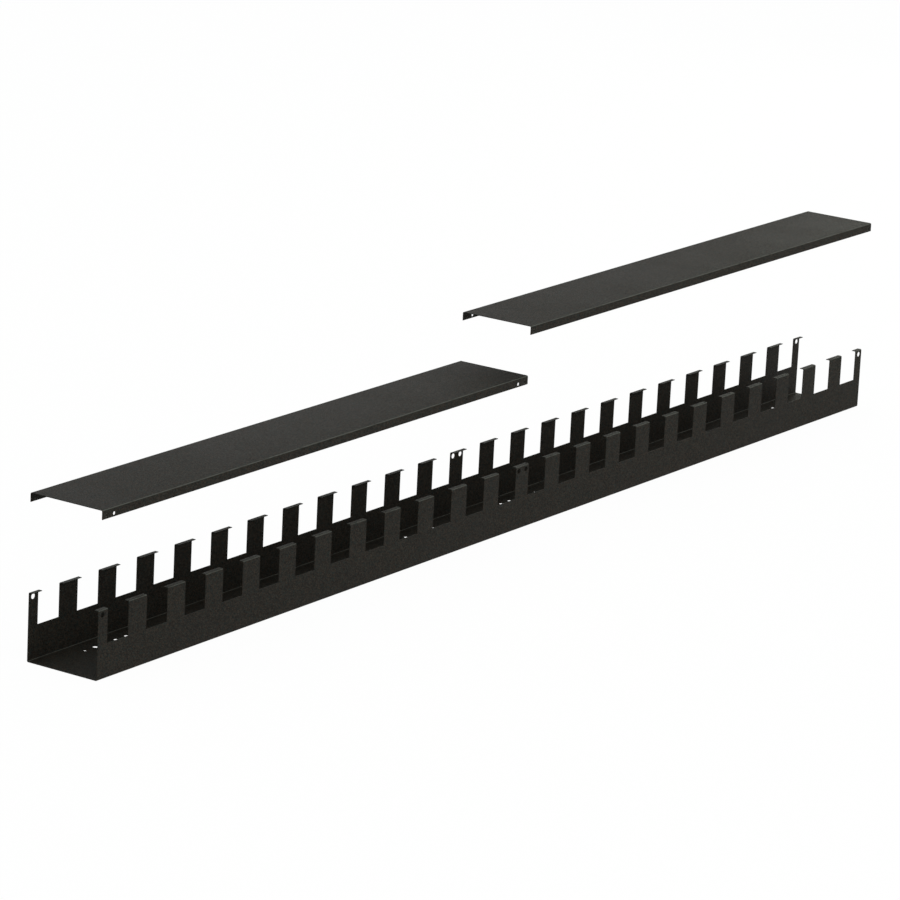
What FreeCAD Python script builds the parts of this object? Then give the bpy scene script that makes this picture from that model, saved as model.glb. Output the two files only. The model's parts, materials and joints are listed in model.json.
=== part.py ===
import FreeCAD, Part
import math
import os
from types import SimpleNamespace

import Sketcher

# Vertical cable manager: one folded channel with two rows of cable fingers and
# two clip-on covers, each over half of it. X runs along the length, Y across,
# Z from the mounting face to the finger tips. The origin is the middle of the
# mounting face. The covers are drawn lifted off, as they are before they are
# pushed straight down until their dimples snap into the finger holes.

# Driving sizes in millimetres
SIZES = {
    # fingers and the slots between them
    "finger_pitch": 82.0,
    "slot_width": 44.0,
    "slots_per_half": 12,
    "end_finger_width": 19.0,
    "middle_finger_width": 33.0,
    "slot_bottom_height": 48.1,
    # folded channel
    "channel_width": 118.6,
    "channel_height": 96.3,
    "lip_depth": 7.3,
    "sheet_thickness": 0.9,
    "bend_radius": 1.2,
    # snap holes near the finger tips
    "snap_hole_diameter": 7.9,
    "snap_hole_inset": 8.5,
    "snap_hole_drop": 7.1,
    # fixing holes in the floor, on a half rack unit grid
    "half_unit": 22.225,
    "fixing_inset": 88.9,
    "fixing_row_spacing": 66.675,
    "bolt_hole_diameter": 8.0,
    "pilot_hole_diameter": 4.5,
    # covers
    "cover_clearance": 0.3,
    "cover_joint_gap": 1.0,
    "cover_flange_depth": 13.1,
    "dimple_diameter": 6.2,
    "dimple_tip_diameter": 3.8,
    "dimple_depth": 1.0,
    "screw_hole_diameter": 4.8,
    "screw_hole_inset": 24.5,
    "screw_hole_drop": 8.7,
    "lower_cover_lift": 135.4,
    "upper_cover_lift": 209.1,
    # how far a cut runs past the sheet
    "cut_overrun": 5.0,
}


class Size:
    """A number together with the sheet formula that gives it."""

    def __init__(self, value, formula=None):
        self.value = value
        self.formula = repr(value) if formula is None else formula

    def joined(self, other, sign, value):
        """The result of an operation on two sizes, with its formula."""
        return Size(value, "(%s %s %s)" % (self.formula, sign, other.formula))

    def __add__(self, other):
        other = as_size(other)
        return self.joined(other, "+", self.value + other.value)

    def __sub__(self, other):
        other = as_size(other)
        return self.joined(other, "-", self.value - other.value)

    def __mul__(self, other):
        other = as_size(other)
        return self.joined(other, "*", self.value * other.value)

    def __truediv__(self, other):
        other = as_size(other)
        return self.joined(other, "/", self.value / other.value)

    def __neg__(self):
        return Size(0.0) - self


def as_size(number):
    """A plain number as a Size."""
    return number if isinstance(number, Size) else Size(number)


doc = FreeCAD.newDocument("vertical_cable_manager")
sheet = doc.addObject("Spreadsheet::Sheet", "Sizes")
for row, (alias, value) in enumerate(SIZES.items(), start=1):
    sheet.set("A%d" % row, alias)
    sheet.set("B%d" % row, str(value))
    sheet.setAlias("B%d" % row, alias)
doc.recompute()
size = SimpleNamespace(**{alias: Size(value, "Sizes." + alias) for alias, value in SIZES.items()})

# Sizes worked out from the driving ones. The inner side of a lip fold and of a cover
# fold is one flat strip, as wide as keeps the full sheet in the fold.
outer_bend_radius = size.bend_radius + size.sheet_thickness
fold_flat = size.bend_radius * (2 - math.sqrt(2))
finger_run = (size.slots_per_half - 1) * size.finger_pitch
half_length = size.end_finger_width + size.slot_width + finger_run + size.middle_finger_width / 2
channel_length = half_length * 2
half_width = size.channel_width / 2
cluster_centre = size.fixing_inset + size.half_unit * 2
cover_length = half_length - size.cover_joint_gap / 2
cover_inner_half = half_width + size.cover_clearance
cover_outer_half = cover_inner_half + size.sheet_thickness
seated_height = size.channel_height + size.cover_clearance
snap_hole_height = size.channel_height - size.snap_hole_drop


def new_body(name):
    """An empty body with the name of its sub-part."""
    body = doc.addObject("PartDesign::Body", name)
    body.Label = name
    return body


def origin_part(body, role):
    """A plane or axis of the body's own origin."""
    return next(part for part in body.Origin.OriginFeatures if part.Role == role)


def bind(feature, path, length):
    """Ties one property of a feature to the sheet."""
    feature.setExpression(path, length.formula)


def new_sketch(body, name, plane, offset=None):
    """A sketch on an origin plane, moved off the origin by offset (x, y, z)."""
    sketch = body.newObject("Sketcher::SketchObject", name)
    sketch.AttachmentSupport = (origin_part(body, plane), [""])
    sketch.MapMode = "FlatFace"
    for axis, length in zip("xyz", offset or ()):
        bind(sketch, "AttachmentOffset.Base." + axis, length)
    return sketch


def constrain(sketch, kind, *places, length=None):
    """Adds one constraint, and ties it to the sheet when it has a length."""
    if length is None:
        return sketch.addConstraint(Sketcher.Constraint(kind, *places))
    index = sketch.addConstraint(Sketcher.Constraint(kind, *places, length.value))
    bind(sketch, "Constraints[%d]" % index, length)
    return index


def place(sketch, geometry, point, x=None, y=None):
    """Holds a point of the sketch at x, at y or at both, from the origin."""
    for kind, length, axis in (("DistanceX", x, -2), ("DistanceY", y, -1)):
        if length is None:
            continue
        if length.value == 0:
            constrain(sketch, "PointOnObject", geometry, point, axis)
        elif length.value > 0:
            constrain(sketch, kind, -1, 1, geometry, point, length=length)
        else:
            constrain(sketch, kind, geometry, point, -1, 1, length=-length)


def draw_outline(sketch, corners):
    """A closed outline of upright and level lines. A corner is (x, y, radius or None).

    A sloped line may lead from a level line to an upright one.
    """
    count = len(corners)
    points = [FreeCAD.Vector(x.value, y.value, 0) for x, y, _ in corners]
    steps = [(points[(k + 1) % count] - points[k]).normalize() for k in range(count)]
    radii = [radius.value if radius else 0.0 for _, _, radius in corners]
    lines = []
    for k in range(count):
        start = points[k] + steps[k] * radii[k]
        end = points[(k + 1) % count] - steps[k] * radii[(k + 1) % count]
        line = sketch.addGeometry(Part.LineSegment(start, end), False)
        lines.append(line)
        x, y, _ = corners[k]
        if abs(steps[k].x) < 1e-6:
            constrain(sketch, "Vertical", line)
            place(sketch, line, 1, x=x)
        elif abs(steps[k].y) < 1e-6:
            constrain(sketch, "Horizontal", line)
            place(sketch, line, 1, y=y)
        else:
            place(sketch, line, 1, x=x)
            place(sketch, line, 2, y=corners[(k + 1) % count][1])
    for k in range(count):
        before, after, radius = lines[k - 1], lines[k], corners[k][2]
        if radius is None:
            constrain(sketch, "Coincident", before, 2, after, 1)
            continue
        centre = points[k] + (steps[k] - steps[k - 1]) * radii[k]
        ends = [points[k] - steps[k - 1] * radii[k], points[k] + steps[k] * radii[k]]
        left_turn = steps[k - 1].cross(steps[k]).z > 0
        angles = [math.atan2(end.y - centre.y, end.x - centre.x) for end in ends]
        if not left_turn:
            angles.reverse()
        circle = Part.Circle(centre, FreeCAD.Vector(0, 0, 1), radii[k])
        arc = sketch.addGeometry(Part.ArcOfCircle(circle, *angles), False)
        first, last = (1, 2) if left_turn else (2, 1)
        constrain(sketch, "Tangent", before, 2, arc, first)
        constrain(sketch, "Tangent", arc, last, after, 1)
        constrain(sketch, "Radius", arc, length=radius)


def draw_circle(sketch, x, y, diameter):
    """A circle at x, y of the sketch."""
    centre = FreeCAD.Vector(x.value, y.value, 0)
    circle = Part.Circle(centre, FreeCAD.Vector(0, 0, 1), diameter.value / 2)
    index = sketch.addGeometry(circle, False)
    place(sketch, index, 3, x=x, y=y)
    constrain(sketch, "Diameter", index, length=diameter)


def draw_polygon(sketch, points):
    """A closed outline of straight lines with each (x, y) corner held from the origin."""
    vectors = [FreeCAD.Vector(x.value, y.value, 0) for x, y in points]
    lines = [sketch.addGeometry(Part.LineSegment(vectors[k - 1], vectors[k]), False)
             for k in range(len(points))]
    for k, (x, y) in enumerate(points):
        constrain(sketch, "Coincident", lines[k], 2, lines[(k + 1) % len(points)], 1)
        place(sketch, lines[k], 2, x=x, y=y)


def extrude(body, kind, name, sketch, length):
    """A pad or a pocket that reaches half of length to each side of its sketch."""
    feature = body.newObject("PartDesign::" + kind, name)
    feature.Profile = sketch
    feature.SideType = "Symmetric"
    feature.Type = "Length"
    bind(feature, "Length", length)
    body.Tip = feature
    return feature


def repeat(body, name, originals, steps):
    """Copies features by one step after another, and makes the copies count."""
    whole = body.newObject("PartDesign::MultiTransform", name)
    whole.Originals = originals
    whole.Transformations = steps
    body.Tip = whole
    return whole


def mirror(body, name, plane):
    """A mirror step in one of the body's origin planes."""
    step = body.newObject("PartDesign::Mirrored", name)
    step.MirrorPlane = (origin_part(body, plane), [""])
    return step


def row_along_length(body, name, spacing, count):
    """A step that repeats along the length."""
    step = body.newObject("PartDesign::LinearPattern", name)
    step.Direction = (origin_part(body, "X_Axis"), [""])
    step.Mode = "Spacing"
    bind(step, "Offset", spacing)
    bind(step, "Occurrences", count)
    return step


def pad_half_section(body, name, corners, length):
    """A folded sheet: half of its section padded along X, then mirrored across the middle."""
    section = new_sketch(body, name + "_section", "YZ_Plane")
    draw_outline(section, corners)
    pad = extrude(body, "Pad", name + "_pad", section, length)
    return repeat(body, name + "_sheet", [pad], [mirror(body, name + "_mirror", "XZ_Plane")])


def build_channel():
    """The folded channel, its fingers with their folded lips, and all its holes."""
    body = new_body("finger_channel")
    height, sheet_thickness = size.channel_height, size.sheet_thickness
    zero = Size(0.0)
    inner_half = half_width - sheet_thickness
    lip_edge = half_width - size.lip_depth
    lip_underside = height - sheet_thickness
    pad_half_section(body, "channel", [
        (zero, zero, None),
        (half_width, zero, outer_bend_radius),
        (half_width, height, outer_bend_radius),
        (lip_edge, height, None),
        (lip_edge, lip_underside, None),
        (inner_half - fold_flat, lip_underside, None),
        (inner_half, lip_underside - fold_flat, None),
        (inner_half, sheet_thickness, size.bend_radius),
        (zero, sheet_thickness, None),
    ], channel_length)
    across = size.channel_width + size.cut_overrun * 2
    cut_cable_slots(body, across)
    cut_snap_holes(body, across)
    cut_fixing_holes(body)
    return body


def cut_cable_slots(body, across):
    """The slots that leave the fingers standing, open at the top, through both walls."""
    left = size.end_finger_width - half_length
    right = left + size.slot_width
    top = size.channel_height + size.cut_overrun
    sketch = new_sketch(body, "slot_outline", "XZ_Plane")
    draw_polygon(sketch, [(left, top), (left, size.slot_bottom_height),
                          (right, size.slot_bottom_height), (right, top)])
    slot = extrude(body, "Pocket", "cable_slot", sketch, across)
    row = row_along_length(body, "slot_row", size.finger_pitch, size.slots_per_half)
    repeat(body, "cable_slots", [slot], [row, mirror(body, "slot_mirror", "YZ_Plane")])


def cut_snap_holes(body, across):
    """The holes that the cover dimples snap into: one in an end finger, two in a middle one."""
    sketch = new_sketch(body, "snap_hole_outline", "XZ_Plane")
    for distance in (half_length - size.snap_hole_inset,
                     size.cover_joint_gap / 2 + size.snap_hole_inset):
        for x in (distance, -distance):
            draw_circle(sketch, x, snap_hole_height, size.snap_hole_diameter)
    extrude(body, "Pocket", "snap_holes", sketch, across)


def cut_fixing_holes(body):
    """Four clusters of fixing holes in the floor, each with a pilot hole on its outer side."""
    sketch = new_sketch(body, "fixing_hole_outline", "XY_Plane")
    for steps, diameter in ((0, size.pilot_hole_diameter), (1, size.bolt_hole_diameter),
                            (3, size.bolt_hole_diameter), (4, size.bolt_hole_diameter)):
        x = size.fixing_inset + size.half_unit * steps - half_length
        for y in (size.fixing_row_spacing / 2, -(size.fixing_row_spacing / 2)):
            draw_circle(sketch, x, y, diameter)
    depth = (size.sheet_thickness + size.cut_overrun) * 2
    cluster = extrude(body, "Pocket", "fixing_cluster", sketch, depth)
    spacing = half_length - cluster_centre * 2
    row = row_along_length(body, "fixing_row", spacing, Size(2))
    repeat(body, "fixing_holes", [cluster], [row, mirror(body, "fixing_mirror", "YZ_Plane")])


def build_cover(name, side, lift):
    """One cover, over the half on side -1 or +1. The +1 cover is the same one turned round."""
    body = new_body(name)
    thickness, zero = size.sheet_thickness, Size(0.0)
    flange_edge = thickness - size.cover_flange_depth
    pad_half_section(body, name, [
        (zero, zero, None),
        (cover_inner_half - fold_flat, zero, None),
        (cover_inner_half, -fold_flat, None),
        (cover_inner_half, flange_edge, None),
        (cover_outer_half, flange_edge, None),
        (cover_outer_half, thickness, outer_bend_radius),
        (zero, thickness, None),
    ], cover_length)
    press_dimples(body, name)
    cut_screw_holes(body, name)
    middle = (size.cover_joint_gap + cover_length) / 2
    bind(body, "Placement.Base.x", middle if side > 0 else -middle)
    bind(body, "Placement.Base.z", seated_height + lift)
    body.Placement.Rotation = FreeCAD.Rotation(FreeCAD.Vector(0, 0, 1), 180 if side > 0 else 0)
    return body


def press_dimples(body, name):
    """A dimple pressed inward near each end of both flanges, level with the snap holes."""
    offset = (cover_length / 2 - size.snap_hole_inset, Size(0.0), snap_hole_height - seated_height)
    zero, base, tip = Size(0.0), size.dimple_diameter / 2, size.dimple_tip_diameter / 2
    features = []
    for kind, feature_name, face in (("Revolution", "bump", cover_inner_half),
                                     ("Groove", "recess", cover_outer_half)):
        sketch = new_sketch(body, "%s_%s_section" % (name, feature_name), "XY_Plane", offset)
        bottom = face - size.dimple_depth
        draw_polygon(sketch, [(zero, bottom), (tip, bottom), (base, face), (zero, face)])
        feature = body.newObject("PartDesign::" + kind, "%s_%s" % (name, feature_name))
        feature.Profile = sketch
        feature.ReferenceAxis = (sketch, ["V_Axis"])
        feature.Angle = 360
        body.Tip = feature
        features.append(feature)
    repeat(body, name + "_dimples", features, [mirror(body, name + "_dimples_across", "XZ_Plane"),
                                               mirror(body, name + "_dimples_along", "YZ_Plane")])


def cut_screw_holes(body, name):
    """A round hole near each end of one flange only, the one at -Y before the cover is turned."""
    reach = size.screw_hole_diameter + size.cut_overrun
    offset = (Size(0.0), Size(0.0), cover_outer_half)
    sketch = new_sketch(body, name + "_screw_hole_outline", "XZ_Plane", offset)
    distance = cover_length / 2 - size.screw_hole_inset
    for x in (distance, -distance):
        draw_circle(sketch, x, size.sheet_thickness - size.screw_hole_drop, size.screw_hole_diameter)
    extrude(body, "Pocket", name + "_screw_holes", sketch, reach * 2)


def check_document():
    """Stops the script if any object failed to build."""
    for item in doc.Objects:
        if {"Invalid", "Error"} & set(item.State):
            raise RuntimeError("%s is %s" % (item.Label, item.State))


def export(body):
    """Writes one sub-part once its shape has been found sound."""
    shape = body.Shape
    if shape.isNull() or not shape.isValid() or len(shape.Solids) != 1:
        raise RuntimeError("%s has no single valid solid" % body.Label)
    shape.exportStep("parts/%s.step" % body.Label)
    box = shape.BoundBox
    print("%s: volume %.1f, box %.2f..%.2f, %.2f..%.2f, %.2f..%.2f" % (
        body.Label, shape.Volume, box.XMin, box.XMax, box.YMin, box.YMax, box.ZMin, box.ZMax))


sub_parts = [
    build_channel(),
    build_cover("lower_cover", -1, size.lower_cover_lift),
    build_cover("upper_cover", 1, size.upper_cover_lift),
]
doc.recompute()
check_document()
os.makedirs("parts", exist_ok=True)
for sub_part in sub_parts:
    export(sub_part)
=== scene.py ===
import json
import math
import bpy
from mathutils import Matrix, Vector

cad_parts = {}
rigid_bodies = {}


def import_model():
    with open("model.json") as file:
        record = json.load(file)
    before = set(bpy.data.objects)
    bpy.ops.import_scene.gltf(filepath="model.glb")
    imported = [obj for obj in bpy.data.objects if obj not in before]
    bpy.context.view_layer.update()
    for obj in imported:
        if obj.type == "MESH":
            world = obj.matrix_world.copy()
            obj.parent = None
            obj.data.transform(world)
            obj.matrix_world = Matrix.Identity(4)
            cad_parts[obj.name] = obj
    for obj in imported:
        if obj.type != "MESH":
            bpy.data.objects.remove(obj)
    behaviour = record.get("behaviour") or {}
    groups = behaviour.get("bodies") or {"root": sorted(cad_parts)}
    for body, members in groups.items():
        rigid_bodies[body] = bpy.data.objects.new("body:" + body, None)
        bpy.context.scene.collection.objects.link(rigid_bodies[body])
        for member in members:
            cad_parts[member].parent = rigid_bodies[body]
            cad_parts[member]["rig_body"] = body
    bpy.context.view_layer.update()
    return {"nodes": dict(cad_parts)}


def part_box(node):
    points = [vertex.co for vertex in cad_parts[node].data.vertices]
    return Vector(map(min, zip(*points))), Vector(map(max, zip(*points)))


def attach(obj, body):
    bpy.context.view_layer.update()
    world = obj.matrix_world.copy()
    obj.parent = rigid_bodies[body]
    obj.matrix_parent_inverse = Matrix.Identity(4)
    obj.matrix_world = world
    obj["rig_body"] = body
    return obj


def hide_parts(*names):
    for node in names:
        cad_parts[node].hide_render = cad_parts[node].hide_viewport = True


bl_info = {
    "name": "Vertical Cable Manager",
    "version": (1, 0, 0),
    "blender": (4, 5, 0),
    "location": "View3D > Sidebar > Cable Manager",
    "description": "Folded steel cable channel with two rows of fingers and two clip-on covers",
    "category": "Object",
}

import bmesh
import bpy
from bpy.props import FloatProperty, FloatVectorProperty, IntProperty, PointerProperty
from mathutils import Matrix, Vector

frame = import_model()

CHANNEL, LOWER_COVER, UPPER_COVER = "finger_channel", "lower_cover", "upper_cover"
ALONG, ACROSS, UP = Vector((1, 0, 0)), Vector((0, 1, 0)), Vector((0, 0, 1))

# Points nearer than this are one point, in metres
CLOSE = 1e-6
# A height over every piece, so that nothing on it counts as a finger tip
OVER_ALL = 1.0
FLOOR_RADIUS = 30.0
FLOOR_DROP = 0.0004


# Settings


def length(name, description, default):
    """A size in metres that a user may change."""
    return FloatProperty(
        name=name, description=description, default=default, min=0.0, unit="LENGTH", precision=5
    )


def colour(name, description, default):
    """A linear colour that a user may change."""
    return FloatVectorProperty(
        name=name, description=description, default=default, size=3, min=0.0, max=1.0,
        subtype="COLOR",
    )


def factor(name, description, default, top=1.0):
    """A plain number from 0 to top that a user may change."""
    return FloatProperty(name=name, description=description, default=default, min=0.0, max=top)


class SheetSettings(bpy.types.PropertyGroup):
    """Sizes of the folded sheet and its cable slots."""

    thickness: length("Sheet Thickness", "Thickness of the steel sheet", 0.0009)
    bend: length("Bend Radius", "Outside radius of each fold", 0.0021)
    bend_segments: IntProperty(
        name="Bend Segments", description="Faces round each fold", default=6, min=1, max=24
    )
    edge: length("Edge Softening", "Round that the coating leaves on every cut edge", 0.00018)
    pitch: length("Finger Pitch", "Distance from one finger to the next", 0.082)
    slot_width: length("Slot Width", "Width of each cable slot", 0.044)
    slot_bottom: length("Slot Bottom", "Height of the slot bottoms over the back", 0.0481)
    slots: IntProperty(
        name="Slots per Half", description="Cable slots in each half of a wall", default=12, min=1
    )
    middle_finger: length("Middle Finger", "Width of the double finger at the middle", 0.033)
    lip: length("Lip Depth", "How far the finger tips fold inward", 0.0073)
    joint_gap: length("Cover Gap", "Gap between the two covers at the middle", 0.001)
    clearance: length("Cover Clearance", "Room between a seated cover and the channel", 0.0003)


class HoleSettings(bpy.types.PropertyGroup):
    """Sizes and places of the punched holes and pressed dimples."""

    segments: IntProperty(
        name="Hole Segments", description="Sides of every round hole", default=32, min=12, max=96
    )
    snap: length("Snap Hole", "Diameter of the holes that the cover dimples snap into", 0.0079)
    snap_inset: length("Snap Inset", "Snap hole to the nearest end of its cover", 0.0085)
    snap_drop: length("Snap Drop", "Snap hole below the finger tips", 0.0071)
    bolt: length("Bolt Hole", "Diameter of the fixing holes in the back", 0.008)
    pilot: length("Pilot Hole", "Diameter of the outermost hole of each group", 0.0045)
    half_unit: length("Half Rack Unit", "Grid that the fixing holes are on", 0.022225)
    rows: length("Row Spacing", "Distance between the two rows of fixing holes", 0.066675)
    dimple: length("Dimple", "Diameter of the dimples in the cover flanges", 0.0056)
    dimple_depth: length("Dimple Depth", "Depth of the dimples", 0.00095)
    screw: length("Screw Hole", "Diameter of the holes in one cover flange", 0.0048)
    screw_inset: length("Screw Inset", "Screw hole to the end of the cover", 0.0245)
    screw_drop: length("Screw Drop", "Screw hole below the cover's top", 0.0087)


class CoatSettings(bpy.types.PropertyGroup):
    """Colour and surface of the powder coat."""

    base: colour("Coat Colour", "Black of the powder coat", (0.0190, 0.0157, 0.0121))
    warm: colour("Warm Grain", "Brown grains in the coat", (0.0265, 0.0166, 0.0105))
    cool: colour("Cool Grain", "Green grey grains in the coat", (0.0101, 0.0156, 0.0142))
    contrast: factor("Contrast", "Lightness range from one grain to the next", 0.70)
    grain: FloatProperty(
        name="Grain", description="Grains of the coat in each metre", default=850.0, min=1.0
    )
    relief: length("Relief", "Height of the coat's texture", 0.00012)
    roughness: factor("Roughness", "Mean roughness of the coat", 0.62)
    gloss: factor("Gloss", "Specular level of the coat", 0.056)
    # Painted highlight: the polished colour and the wear amount paint the folds lighter, as a bend
    # catching light looks, and the coat is made less rough there
    painted_highlight: colour("Painted Highlight", "Coat where handling has rubbed it", (0.068, 0.068, 0.057))
    painted_light: factor("Wear", "How far the folds are rubbed", 0.95)
    # Painted light on the finger tips, in place of the light that the covers shade off them
    tip_painted_light: factor("Painted Tip Light", "How far the covers have rubbed the finger tips", 0.28)
    smoothing: factor("Sheen Smoothing", "How much less rough the rubbed coat is", 0.18)
    dust_colour: colour("Dust", "Dust that has settled on the coat", (0.060, 0.056, 0.046))
    dust: factor("Dust Amount", "How much dust lies on upward faces", 0.05)


class StageSettings(bpy.types.PropertyGroup):
    """Camera, floor and light."""

    camera: FloatVectorProperty(
        name="Camera", description="Place of the camera", size=3, subtype="XYZ", unit="LENGTH",
        default=(-5.63712, -3.77628, 1.96831), precision=5,
    )
    target: FloatVectorProperty(
        name="Target", description="Point that the camera looks at", size=3, subtype="XYZ",
        unit="LENGTH", default=(-0.01025, 0.06387, 0.09757), precision=5,
    )
    roll: FloatProperty(
        name="Roll", description="Turn of the camera about its line of sight", subtype="ANGLE",
        default=math.radians(2.8559),
    )
    lens: FloatProperty(
        name="Lens", description="Focal length of the camera in millimetres", default=191.4
    )
    floor: colour("Floor Colour", "Pale floor under the part", (0.92, 0.87, 0.80))
    shadow: factor("Shadow", "How much of the floor's own shade the camera sees", 0.03)
    sky: colour("Sky", "Colour of the even light from all round", (0.80, 0.93, 1.0))
    daylight: factor("Daylight", "Strength of the even light from all round", 0.92, 5.0)
    lamps: factor("Lamps", "Strength of the soft lamps", 1.0, 10.0)


# Sheet work


def parts_of(geometry, kind):
    """The vertices, edges or faces among an operator's results."""
    return [part for part in geometry if isinstance(part, kind)]


def fold_sheet(outline, start, end, sheet):
    """The outer skin of a sheet folded round the outline (y, z), from x start to x end."""
    bm = bmesh.new()
    corners = [bm.verts.new((start, y, z)) for y, z in outline]
    for first, second in zip(corners, corners[1:]):
        bm.edges.new((first, second))
    bmesh.ops.bevel(
        bm, geom=corners[1:-1], offset=sheet.bend, offset_type="OFFSET", affect="VERTICES",
        segments=sheet.bend_segments, profile=0.5, material=-1,
    )
    grown = bmesh.ops.extrude_edge_only(bm, edges=bm.edges[:])
    bmesh.ops.translate(bm, verts=parts_of(grown["geom"], bmesh.types.BMVert),
                        vec=ALONG * (end - start))
    bmesh.ops.recalc_face_normals(bm, faces=bm.faces)
    return bm


def whole(faces):
    """The faces together with their edges and vertices, each once, in the order of the faces."""
    edges = dict.fromkeys(edge for face in faces for edge in face.edges)
    verts = dict.fromkeys(vert for face in faces for vert in face.verts)
    return [*faces, *edges, *verts]


def cut(bm, faces, point, direction):
    """Splits those faces along a plane, and returns all faces that they have become."""
    result = bmesh.ops.bisect_plane(
        bm, geom=whole(faces), dist=CLOSE, plane_co=point, plane_no=direction
    )
    return parts_of(result["geom"], bmesh.types.BMFace)


def cut_slots(bm, spans, bottom):
    """Opens each span of x in the upright walls from the slot bottom up through the lips."""
    upper = [face for face in bm.faces if face.calc_center_median().z > bottom / 2]
    upper = cut(bm, upper, UP * bottom, UP)
    upper = [face for face in upper if face.calc_center_median().z > bottom]
    for edge in sorted(x for span in spans for x in span):
        upper = cut(bm, upper, ALONG * edge, ALONG)
    opened = [
        face for face in upper
        if any(low < face.calc_center_median().x < high for low, high in spans)
    ]
    bmesh.ops.delete(bm, geom=opened, context="FACES")


def round_face(bm, centre, normal, radius, segments):
    """Cuts a square out of the skin round the centre and turns its middle into a round face."""
    half_square, rim = radius * 1.3, radius * 0.1
    faces = [
        face for face in bm.faces
        if abs(face.normal.dot(normal)) > 0.999
        and abs((face.calc_center_median() - centre).dot(normal)) < 10 * CLOSE
        and bmesh.geometry.intersect_face_point(face, centre)
    ]
    for axis in (ALONG, ACROSS, UP):
        if abs(axis.dot(normal)) > 0.5:
            continue
        for sign in (-1, 1):
            faces = [
                face for face in cut(bm, faces, centre + axis * sign * half_square, axis)
                if bmesh.geometry.intersect_face_point(face, centre)
            ]
    face = faces[0]
    bmesh.ops.subdivide_edges(bm, edges=face.edges[:], cuts=segments // 4 - 1)
    bmesh.ops.inset_individual(bm, faces=[face], thickness=rim)
    for vert in face.verts:
        vert.co = centre + (vert.co - centre).normalized() * radius
    return face


def punch(bm, centre, normal, radius, segments):
    """Punches a round hole through the skin."""
    face = round_face(bm, centre, normal, radius, segments)
    bmesh.ops.delete(bm, geom=[face], context="FACES_ONLY")


def press(bm, centre, inward, radius, depth, segments):
    """Presses a round-bottomed dimple into the skin: each ring is inset, then put in its place."""
    face = round_face(bm, centre, inward, radius, segments)
    rings, flat_share = 5, 0.25
    for ring in range(1, rings + 1):
        bmesh.ops.inset_individual(bm, faces=[face], thickness=radius * 0.05)
        share = ring / rings
        bottom = centre + inward * depth * math.sin(share * math.pi / 2)
        for vert in face.verts:
            spoke = vert.co - centre
            spoke -= spoke.dot(inward) * inward
            vert.co = bottom + spoke.normalized() * radius * (1 - (1 - flat_share) * share)
    bmesh.ops.poke(bm, faces=[face])


def finish_sheet(bm, name, node, sheet, material):
    """Makes the skin an object with its thickness and soft edges, in place of the CAD node."""
    bmesh.ops.remove_doubles(bm, verts=bm.verts, dist=CLOSE)
    bmesh.ops.recalc_face_normals(bm, faces=bm.faces)
    for face in bm.faces:
        face.smooth = True
    mesh = bpy.data.meshes.new(name)
    bm.to_mesh(mesh)
    bm.free()
    mesh.materials.append(material)
    piece = bpy.data.objects.new(name, mesh)
    bpy.context.scene.collection.objects.link(piece)

    wall = piece.modifiers.new("Thickness", "SOLIDIFY")
    wall.thickness = sheet.thickness
    wall.offset = -1.0
    wall.use_even_offset = True
    soft = piece.modifiers.new("Soft Edges", "BEVEL")
    soft.width = sheet.edge
    soft.segments = 2
    soft.limit_method = "ANGLE"
    soft.angle_limit = math.radians(50)
    soft.harden_normals = True

    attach(piece, frame["nodes"][node]["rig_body"])
    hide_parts(node)
    return piece


def slot_spans(sheet):
    """The span of x of every cable slot in one wall."""
    first = sheet.middle_finger / 2
    right = [
        (first + k * sheet.pitch, first + k * sheet.pitch + sheet.slot_width)
        for k in range(sheet.slots)
    ]
    return right + [(-high, -low) for low, high in right]


def fixing_stations(low, high, holes):
    """The (x, diameter) of the fixing holes, on the half unit grid from the middle and each end."""
    grid, bolt, pilot = holes.half_unit, holes.bolt, holes.pilot
    from_middle = ((4, bolt), (5, bolt), (7, bolt), (8, pilot))
    from_end = ((4, pilot), (5, bolt), (7, bolt), (8, bolt))
    stations = []
    for sign, end in ((1, high), (-1, low)):
        stations += [(sign * grid * count, diameter) for count, diameter in from_middle]
        stations += [(end - sign * grid * count, diameter) for count, diameter in from_end]
    return stations


def build_channel(sheet, holes, material):
    """The folded channel with its fingers, snap holes and fixing holes."""
    low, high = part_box(CHANNEL)
    side, top, inner = high.y, high.z, high.y - sheet.lip
    outline = [(-inner, top), (-side, top), (-side, 0), (side, 0), (side, top), (inner, top)]
    bm = fold_sheet(outline, low.x, high.x, sheet)
    cut_slots(bm, slot_spans(sheet), sheet.slot_bottom)
    middle = holes.snap_inset + sheet.joint_gap / 2
    for wall in (-side, side):
        for x in (low.x + holes.snap_inset, -middle, middle, high.x - holes.snap_inset):
            punch(bm, Vector((x, wall, top - holes.snap_drop)), ACROSS, holes.snap / 2,
                  holes.segments)
    for x, diameter in fixing_stations(low.x, high.x, holes):
        for row in (-1, 1):
            punch(bm, Vector((x, row * holes.rows / 2, 0)), UP, diameter / 2, holes.segments)
    return finish_sheet(bm, "coated_channel", CHANNEL, sheet, material)


def build_cover(name, node, screw_side, sheet, holes, material):
    """A cover: a flat strip with two flanges, four dimples and two screw holes."""
    low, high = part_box(node)
    outline = [(low.y, low.z), (low.y, high.z), (high.y, high.z), (high.y, low.z)]
    bm = fold_sheet(outline, low.x, high.x, sheet)
    level = high.z - sheet.thickness - sheet.clearance - holes.snap_drop
    for flange, inward in ((low.y, ACROSS), (high.y, -ACROSS)):
        for x in (low.x + holes.snap_inset, high.x - holes.snap_inset):
            press(bm, Vector((x, flange, level)), inward, holes.dimple / 2,
                  holes.dimple_depth, holes.segments)
    for x in (low.x + holes.screw_inset, high.x - holes.screw_inset):
        punch(bm, Vector((x, low.y if screw_side < 0 else high.y, high.z - holes.screw_drop)),
              ACROSS, holes.screw / 2, holes.segments)
    return finish_sheet(bm, name, node, sheet, material)


# Materials


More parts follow.
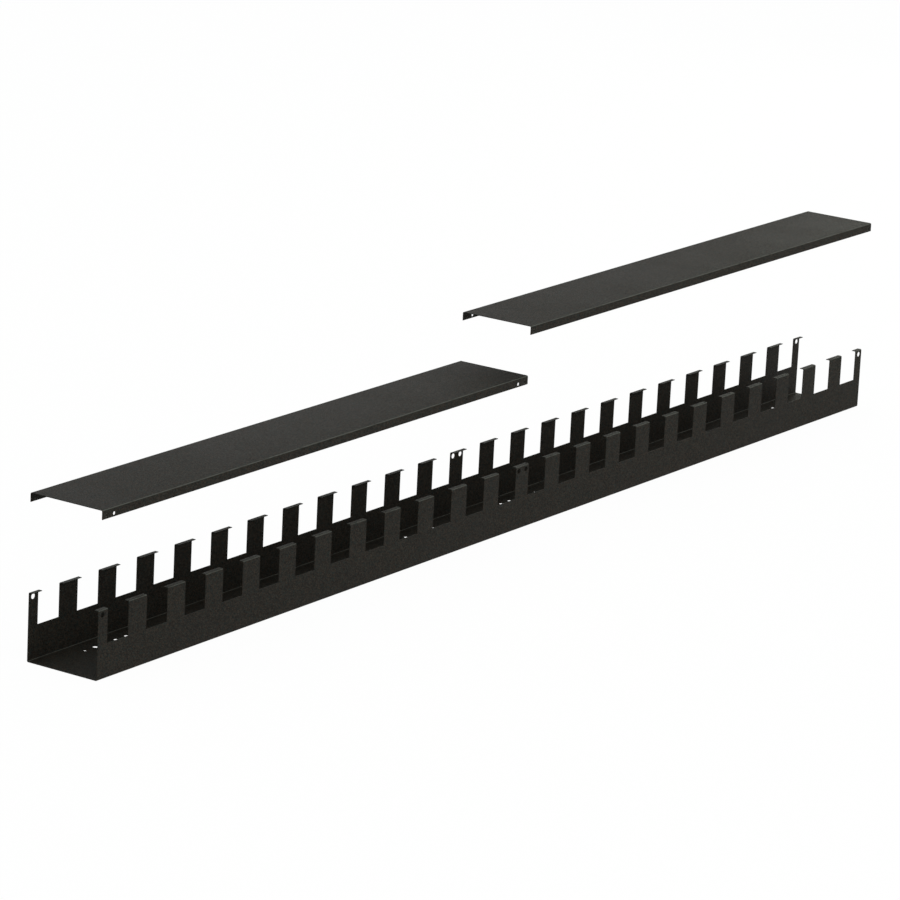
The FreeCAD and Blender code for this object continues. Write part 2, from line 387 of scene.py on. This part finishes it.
def node_group(name, inputs, outputs):
    """An empty shader group with the given sockets, as {name: kind}."""
    group = bpy.data.node_groups.new(name, "ShaderNodeTree")
    for direction, sockets in (("INPUT", inputs), ("OUTPUT", outputs)):
        for socket, kind in sockets.items():
            group.interface.new_socket(socket, in_out=direction, socket_type="NodeSocket" + kind)
    return group


def add(tree, kind, inputs=None, **settings):
    """Adds a node with these properties, and sets or links each given input."""
    node = tree.nodes.new(kind)
    for key, value in settings.items():
        setattr(node, key, value)
    for key, value in (inputs or {}).items():
        if isinstance(value, bpy.types.NodeSocket):
            tree.links.new(value, node.inputs[key])
        else:
            node.inputs[key].default_value = value
    return node


def math_node(tree, operation, first, second=0.0):
    """The result of one sum on values."""
    return add(tree, "ShaderNodeMath", {0: first, 1: second}, operation=operation).outputs["Value"]


def spread(tree, value, low, high, to_low=0.0, to_high=1.0):
    """A value moved from one range to another with soft ends."""
    return add(tree, "ShaderNodeMapRange", {
        "Value": value, "From Min": low, "From Max": high, "To Min": to_low, "To Max": to_high,
    }, interpolation_type="SMOOTHSTEP").outputs["Result"]


def mix_colours(tree, mask, first, second):
    """The first colour where the mask is 0 and the second where it is 1."""
    return add(tree, "ShaderNodeMix", {0: mask, 6: first, 7: second}, data_type="RGBA").outputs[2]


def powder_group():
    """Powder coat: speckled colour, uneven roughness and the height of its fine relief."""
    group = node_group(
        "Powder Coat",
        {"Vector": "Vector", "Grain": "Float", "Base": "Color", "Warm": "Color", "Cool": "Color",
         "Contrast": "Float", "Roughness": "Float"},
        {"Color": "Color", "Roughness": "Float", "Height": "Float"},
    )
    given = add(group, "NodeGroupInput").outputs
    place = given["Vector"]
    grains = add(group, "ShaderNodeTexVoronoi", {
        "Vector": place, "Scale": given["Grain"], "Smoothness": 0.9,
    }, feature="SMOOTH_F1")
    chance = add(group, "ShaderNodeSeparateColor", {"Color": grains.outputs["Color"]}).outputs
    peel = add(group, "ShaderNodeTexNoise", {
        "Vector": place, "Scale": math_node(group, "MULTIPLY", given["Grain"], 2.3), "Detail": 2.0,
    })
    flow = add(group, "ShaderNodeTexNoise", {
        "Vector": place, "Scale": 7.0, "Detail": 3.0, "Roughness": 0.55,
    })
    warmed = mix_colours(group, spread(group, chance["Green"], 0.57, 0.92), given["Base"],
                         given["Warm"])
    cooled = mix_colours(group, spread(group, chance["Green"], 0.43, 0.08), warmed, given["Cool"])
    swing = math_node(group, "MULTIPLY", math_node(group, "SUBTRACT", chance["Red"], 0.5),
                      math_node(group, "MULTIPLY", given["Contrast"], 2.0))
    drift = spread(group, flow.outputs["Fac"], 0.3, 0.7, 0.94, 1.06)
    shade = math_node(group, "MULTIPLY", math_node(group, "ADD", swing, 1.0), drift)
    speckled = add(group, "ShaderNodeVectorMath", {0: cooled, "Scale": shade}, operation="SCALE")
    rough = math_node(group, "ADD", given["Roughness"], math_node(
        group, "ADD", spread(group, flow.outputs["Fac"], 0.3, 0.7, -0.03, 0.03),
        spread(group, chance["Blue"], 0.0, 1.0, -0.06, 0.06)))
    height = math_node(group, "SUBTRACT", peel.outputs["Fac"], grains.outputs["Distance"])
    add(group, "NodeGroupOutput", {
        "Color": speckled.outputs["Vector"], "Roughness": rough, "Height": height,
    })
    return group


def painted_light_group():
    """Painted highlight and painted light: broken lighter lines along the folds, where a bend
    catches light, and lighter finger tips, where the covers shade them.
    """
    group = node_group(
        "Painted Edge Light",
        {"Vector": "Vector", "Normal": "Vector", "Amount": "Float", "Tip Height": "Float",
         "Tip Light Amount": "Float"},
        {"Mask": "Float"},
    )
    given = add(group, "NodeGroupInput").outputs
    facing = add(group, "ShaderNodeVectorMath", {0: given["Normal"]}, operation="ABSOLUTE")
    part = add(group, "ShaderNodeSeparateXYZ", {"Vector": facing.outputs["Vector"]}).outputs
    flat = math_node(group, "MAXIMUM", math_node(group, "MAXIMUM", part["X"], part["Y"]),
                     part["Z"])
    # Painted highlight on the curved faces of the folds that run along the length
    rounded = math_node(group, "MULTIPLY", spread(group, flat, 0.985, 0.80),
                        spread(group, part["X"], 0.45, 0.20))
    # Noise that breaks up the painted highlight and the painted light on the tips
    light_breakup = add(group, "ShaderNodeTexNoise", {
        "Vector": given["Vector"], "Scale": 60.0, "Detail": 4.0, "Roughness": 0.6,
    })
    folds = math_node(group, "MULTIPLY", math_node(group, "MULTIPLY", rounded, given["Amount"]),
                      spread(group, light_breakup.outputs["Fac"], 0.30, 0.55, 0.55, 1.0))
    height = add(group, "ShaderNodeSeparateXYZ", {"Vector": given["Vector"]}).outputs["Z"]
    # Painted light: the finger tips above the tip height are painted lighter, in place of light
    # that the covers shade off them
    above = math_node(group, "MULTIPLY", math_node(group, "GREATER_THAN", height,
                                                   given["Tip Height"]), given["Tip Light Amount"])
    tips = math_node(group, "MULTIPLY", above,
                     spread(group, light_breakup.outputs["Fac"], 0.25, 0.65, 0.4, 1.0))
    add(group, "NodeGroupOutput", {"Mask": math_node(group, "MAXIMUM", folds, tips)})
    return group


def dust_group():
    """Where fine dust has settled: patches on whatever faces up."""
    group = node_group(
        "Settled Dust",
        {"Vector": "Vector", "Normal": "Vector", "Amount": "Float"},
        {"Mask": "Float"},
    )
    given = add(group, "NodeGroupInput").outputs
    rise = add(group, "ShaderNodeSeparateXYZ", {"Vector": given["Normal"]}).outputs["Z"]
    patches = add(group, "ShaderNodeTexNoise", {
        "Vector": given["Vector"], "Scale": 16.0, "Detail": 6.0, "Roughness": 0.65,
    })
    specks = add(group, "ShaderNodeTexNoise", {
        "Vector": given["Vector"], "Scale": 900.0, "Detail": 1.0,
    })
    level = math_node(group, "MULTIPLY", spread(group, rise, 0.75, 0.98),
                      spread(group, patches.outputs["Fac"], 0.38, 0.70, 0.25, 1.0))
    mask = math_node(group, "MULTIPLY", level, spread(group, specks.outputs["Fac"], 0.35, 0.65))
    add(group, "NodeGroupOutput", {"Mask": math_node(group, "MULTIPLY", mask, given["Amount"])})
    return group


def use_group(tree, build, name, inputs):
    """Places the named group, which is built when it is first used."""
    group = bpy.data.node_groups.get(name) or build()
    return add(tree, "ShaderNodeGroup", inputs, node_tree=group).outputs


def new_material(name):
    """An empty material and its node tree."""
    material = bpy.data.materials.new(name)
    material.use_nodes = True
    material.node_tree.nodes.clear()
    return material, material.node_tree


def powder_material(name, coat, tip_height):
    """The black powder coat of one piece, with a painted highlight along its folds and painted
    light above the given height.
    """
    material, tree = new_material(name)
    where = add(tree, "ShaderNodeTexCoord").outputs
    place, facing = where["Object"], where["Normal"]
    powder = use_group(tree, powder_group, "Powder Coat", {
        "Vector": place, "Grain": coat.grain, "Base": (*coat.base, 1), "Warm": (*coat.warm, 1),
        "Cool": (*coat.cool, 1), "Contrast": coat.contrast, "Roughness": coat.roughness,
    })
    painted_light = use_group(tree, painted_light_group, "Painted Edge Light", {
        "Vector": place, "Normal": facing, "Amount": coat.painted_light, "Tip Height": tip_height,
        "Tip Light Amount": coat.tip_painted_light,
    })["Mask"]
    dust = use_group(tree, dust_group, "Settled Dust", {
        "Vector": place, "Normal": facing, "Amount": coat.dust,
    })["Mask"]
    # Painted highlight: the polished colour is laid where the mask is, on folds and finger tips
    painted_highlight = mix_colours(tree, painted_light, powder["Color"], (*coat.painted_highlight, 1))
    dusted = mix_colours(tree, dust, painted_highlight, (*coat.dust_colour, 1))
    rough = math_node(tree, "SUBTRACT", powder["Roughness"],
                      math_node(tree, "MULTIPLY", painted_light, coat.smoothing))
    bump = add(tree, "ShaderNodeBump", {
        "Strength": 1.0, "Distance": coat.relief, "Height": powder["Height"],
    })
    shader = add(tree, "ShaderNodeBsdfPrincipled", {
        "Base Color": dusted, "Roughness": rough, "Specular IOR Level": coat.gloss,
        "Normal": bump.outputs["Normal"],
    })
    add(tree, "ShaderNodeOutputMaterial", {"Surface": shader.outputs["BSDF"]})
    return material


# Stage


def seen_directly(tree):
    """1 for rays that show the surroundings: straight to the camera, in gloss or through glass."""
    path = add(tree, "ShaderNodeLightPath").outputs
    shown = math_node(tree, "MAXIMUM", path["Is Camera Ray"], path["Is Glossy Ray"])
    return math_node(tree, "MAXIMUM", shown, path["Is Transmission Ray"])


def build_world(stage):
    """Even light all round that looks white."""
    world = bpy.data.worlds.new("Studio")
    world.use_nodes = True
    tree = world.node_tree
    tree.nodes.clear()
    light = add(tree, "ShaderNodeBackground", {
        "Color": (*stage.sky, 1), "Strength": stage.daylight,
    })
    white = add(tree, "ShaderNodeBackground", {"Color": (1, 1, 1, 1), "Strength": 1.0})
    mixed = add(tree, "ShaderNodeMixShader", {
        0: seen_directly(tree), 1: light.outputs["Background"], 2: white.outputs["Background"],
    })
    add(tree, "ShaderNodeOutputWorld", {"Surface": mixed.outputs["Shader"]})
    bpy.context.scene.world = world


def build_floor(stage):
    """A pale disc under the part that keeps its soft shadow."""
    material, tree = new_material("Pale Floor")
    matt = add(tree, "ShaderNodeBsdfDiffuse", {"Color": (*stage.floor, 1)})
    white = add(tree, "ShaderNodeEmission", {"Color": (1, 1, 1, 1), "Strength": 1.0})
    mixed = add(tree, "ShaderNodeMixShader", {
        0: math_node(tree, "MULTIPLY", seen_directly(tree), 1.0 - stage.shadow),
        1: matt.outputs["BSDF"], 2: white.outputs["Emission"],
    })
    add(tree, "ShaderNodeOutputMaterial", {"Surface": mixed.outputs["Shader"]})
    bm = bmesh.new()
    bmesh.ops.create_circle(
        bm, cap_ends=True, segments=96, radius=FLOOR_RADIUS,
        matrix=Matrix.Translation(-UP * FLOOR_DROP),
    )
    mesh = bpy.data.meshes.new("floor")
    bm.to_mesh(mesh)
    bm.free()
    mesh.materials.append(material)
    floor = bpy.data.objects.new("floor", mesh)
    bpy.context.scene.collection.objects.link(floor)


def look(eye, target, roll=0.0):
    """The place and turn of something at eye that faces the target."""
    ahead = (Vector(target) - Vector(eye)).normalized()
    level = ahead.cross(UP).normalized()
    right = math.cos(roll) * level + math.sin(roll) * level.cross(ahead)
    upward = right.cross(ahead)
    turn = Matrix((right, upward, -ahead)).transposed().to_4x4()
    return Matrix.Translation(eye) @ turn


def build_camera(stage):
    """The camera at the photograph's viewing angle."""
    data = bpy.data.cameras.new("Camera")
    data.lens = stage.lens
    data.clip_end = 100
    camera = bpy.data.objects.new("Camera", data)
    camera.matrix_world = look(stage.camera, stage.target, stage.roll)
    bpy.context.scene.collection.objects.link(camera)
    bpy.context.scene.camera = camera


def build_lamps(stage):
    """Soft lamps: two large warm ones in front, a low one past the upper end and one over it."""
    lamps = (
        ("Key", (-2.2, -3.2, 3.4), 3.0, 44.0, (1.0, 0.92, 0.82)),
        ("Side", (3.6, -2.4, 1.8), 2.5, 28.0, (1.0, 0.92, 0.82)),
        ("Glow", (3.8, 0.9, 1.0), 1.2, 8.5, (0.96, 1.0, 0.82)),
        ("High", (2.4, 0.4, 2.6), 1.6, 12.0, (0.97, 1.0, 0.90)),
    )
    for name, place, width, power, tint in lamps:
        data = bpy.data.lights.new(name, "AREA")
        data.shape = "SQUARE"
        data.size = width
        data.energy = power * stage.lamps
        data.color = tint
        lamp = bpy.data.objects.new(name, data)
        lamp.matrix_world = look(place, (0, 0, 0.1))
        bpy.context.scene.collection.objects.link(lamp)


# Operators


class CABLE_OT_channel(bpy.types.Operator):
    """Build the folded channel with its two rows of fingers"""

    bl_idname = "cable.channel"
    bl_label = "Channel"

    def execute(self, context):
        scene = context.scene
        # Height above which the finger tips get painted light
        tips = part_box(CHANNEL)[1].z - scene.cable_sheet.thickness / 2
        material = powder_material("Channel Powder Coat", scene.cable_coat, tips)
        piece = build_channel(scene.cable_sheet, scene.cable_holes, material)
        return {"FINISHED"}


class CABLE_OT_covers(bpy.types.Operator):
    """Build the two clip-on covers"""

    bl_idname = "cable.covers"
    bl_label = "Covers"

    def execute(self, context):
        scene = context.scene
        material = powder_material("Cover Powder Coat", scene.cable_coat, OVER_ALL)
        for name, node, screw_side in (("coated_lower_cover", LOWER_COVER, -1),
                                       ("coated_upper_cover", UPPER_COVER, 1)):
            piece = build_cover(name, node, screw_side, scene.cable_sheet, scene.cable_holes,
                                material)
        return {"FINISHED"}


class CABLE_OT_stage(bpy.types.Operator):
    """Set the floor, the light and the camera"""

    bl_idname = "cable.stage"
    bl_label = "Stage"

    def execute(self, context):
        stage = context.scene.cable_stage
        context.scene.view_settings.view_transform = "Standard"
        build_world(stage)
        build_floor(stage)
        build_lamps(stage)
        build_camera(stage)
        return {"FINISHED"}


class CABLE_PT_panel(bpy.types.Panel):
    """Settings and steps of the cable manager"""

    bl_idname = "CABLE_PT_panel"
    bl_label = "Cable Manager"
    bl_space_type = "VIEW_3D"
    bl_region_type = "UI"
    bl_category = "Cable Manager"

    def draw(self, context):
        layout = self.layout
        scene = context.scene
        for label, settings in (("Sheet", scene.cable_sheet), ("Holes", scene.cable_holes),
                                ("Coat", scene.cable_coat), ("Stage", scene.cable_stage)):
            box = layout.box()
            box.label(text=label)
            for name in settings.__annotations__:
                box.prop(settings, name)
        for operator in (CABLE_OT_channel, CABLE_OT_covers, CABLE_OT_stage):
            layout.operator(operator.bl_idname)


CLASSES = (SheetSettings, HoleSettings, CoatSettings, StageSettings, CABLE_OT_channel,
           CABLE_OT_covers, CABLE_OT_stage, CABLE_PT_panel)


def register():
    for cls in CLASSES:
        bpy.utils.register_class(cls)
    bpy.types.Scene.cable_sheet = PointerProperty(type=SheetSettings)
    bpy.types.Scene.cable_holes = PointerProperty(type=HoleSettings)
    bpy.types.Scene.cable_coat = PointerProperty(type=CoatSettings)
    bpy.types.Scene.cable_stage = PointerProperty(type=StageSettings)


def unregister():
    for name in ("cable_sheet", "cable_holes", "cable_coat", "cable_stage"):
        delattr(bpy.types.Scene, name)
    for cls in reversed(CLASSES):
        bpy.utils.unregister_class(cls)


def main():
    register()
    bpy.ops.cable.channel()
    bpy.ops.cable.covers()
    bpy.ops.cable.stage()


if __name__ == "__main__":
    main()
